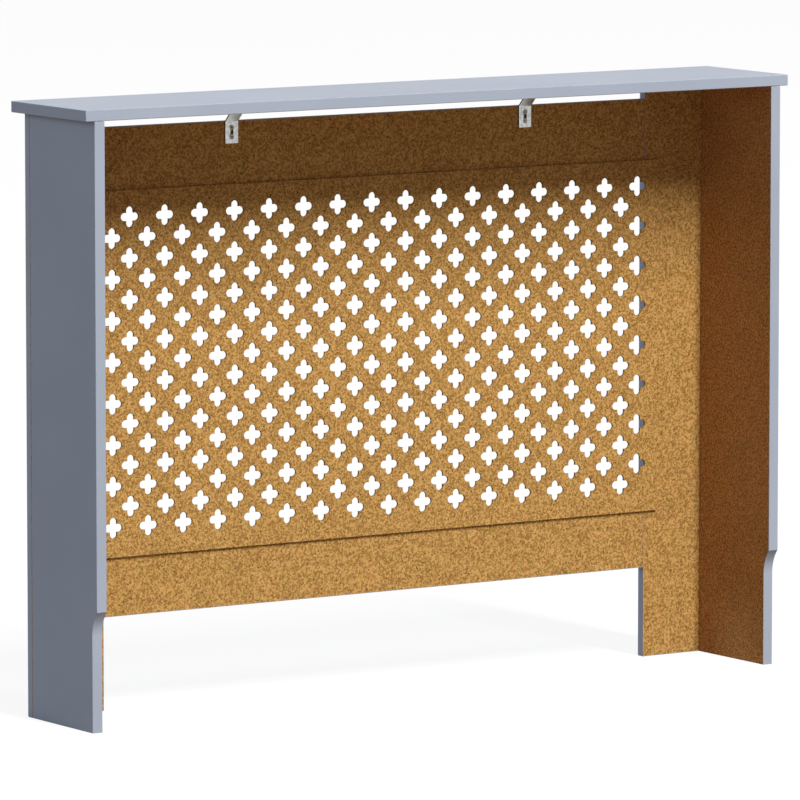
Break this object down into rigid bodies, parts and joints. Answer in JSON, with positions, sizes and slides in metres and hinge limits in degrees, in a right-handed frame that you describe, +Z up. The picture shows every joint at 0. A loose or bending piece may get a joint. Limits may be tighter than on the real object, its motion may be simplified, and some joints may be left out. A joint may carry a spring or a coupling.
{
  "type": "radiator cover cabinet",
  "caption": "Box that stands over a wall radiator: painted fibreboard sides, top shelf and framed fretwork grille, with an air slot, a foot inlet, skirting notches and an open back.",
  "frame": {"origin": "on the floor, under the middle of the top shelf", "axes": "+Z up; the front looks along -Y and the open back faces the wall at +Y; +X to the right of someone facing the front"},
  "size_m": [1.12, 0.19, 0.815],
  "materials": {
    "painted_board": "satin grey-blue paint on the outer faces and edges of fibreboard, with the inner faces left bare",
    "bare_fibreboard": "bare matt fibreboard with fine dark flecks",
    "zinc_steel": "bright zinc plate",
    "zinc_screw": "zinc plate",
    "beech_dowel": "plain beech"
  },
  "bodies": {
    "root": {"top_shelf": "painted_board", "left_side_panel": "painted_board", "right_side_panel": "painted_board", "left_stile": "painted_board", "right_stile": "painted_board", "top_rail": "painted_board", "bottom_rail": "painted_board", "grille_panel": "bare_fibreboard", "left_bracket": "zinc_steel", "right_bracket": "zinc_steel", "left_bracket_rail_screw_lower": "zinc_screw", "left_bracket_rail_screw_upper": "zinc_screw", "left_bracket_shelf_screw_front": "zinc_screw", "left_bracket_shelf_screw_back": "zinc_screw", "right_bracket_rail_screw_lower": "zinc_screw", "right_bracket_rail_screw_upper": "zinc_screw", "right_bracket_shelf_screw_front": "zinc_screw", "right_bracket_shelf_screw_back": "zinc_screw", "top_rail_left_dowel_lower": "beech_dowel", "top_rail_left_dowel_upper": "beech_dowel", "top_rail_right_dowel_lower": "beech_dowel", "top_rail_right_dowel_upper": "beech_dowel", "bottom_rail_left_dowel_lower": "beech_dowel", "bottom_rail_left_dowel_upper": "beech_dowel", "bottom_rail_right_dowel_lower": "beech_dowel", "bottom_rail_right_dowel_upper": "beech_dowel", "left_side_dowel_1": "beech_dowel", "left_side_dowel_2": "beech_dowel", "left_side_dowel_3": "beech_dowel", "right_side_dowel_1": "beech_dowel", "right_side_dowel_2": "beech_dowel", "right_side_dowel_3": "beech_dowel", "left_shelf_dowel_front": "beech_dowel", "left_shelf_dowel_back": "beech_dowel", "right_shelf_dowel_front": "beech_dowel", "right_shelf_dowel_back": "beech_dowel"}
  },
  "joints": []
}
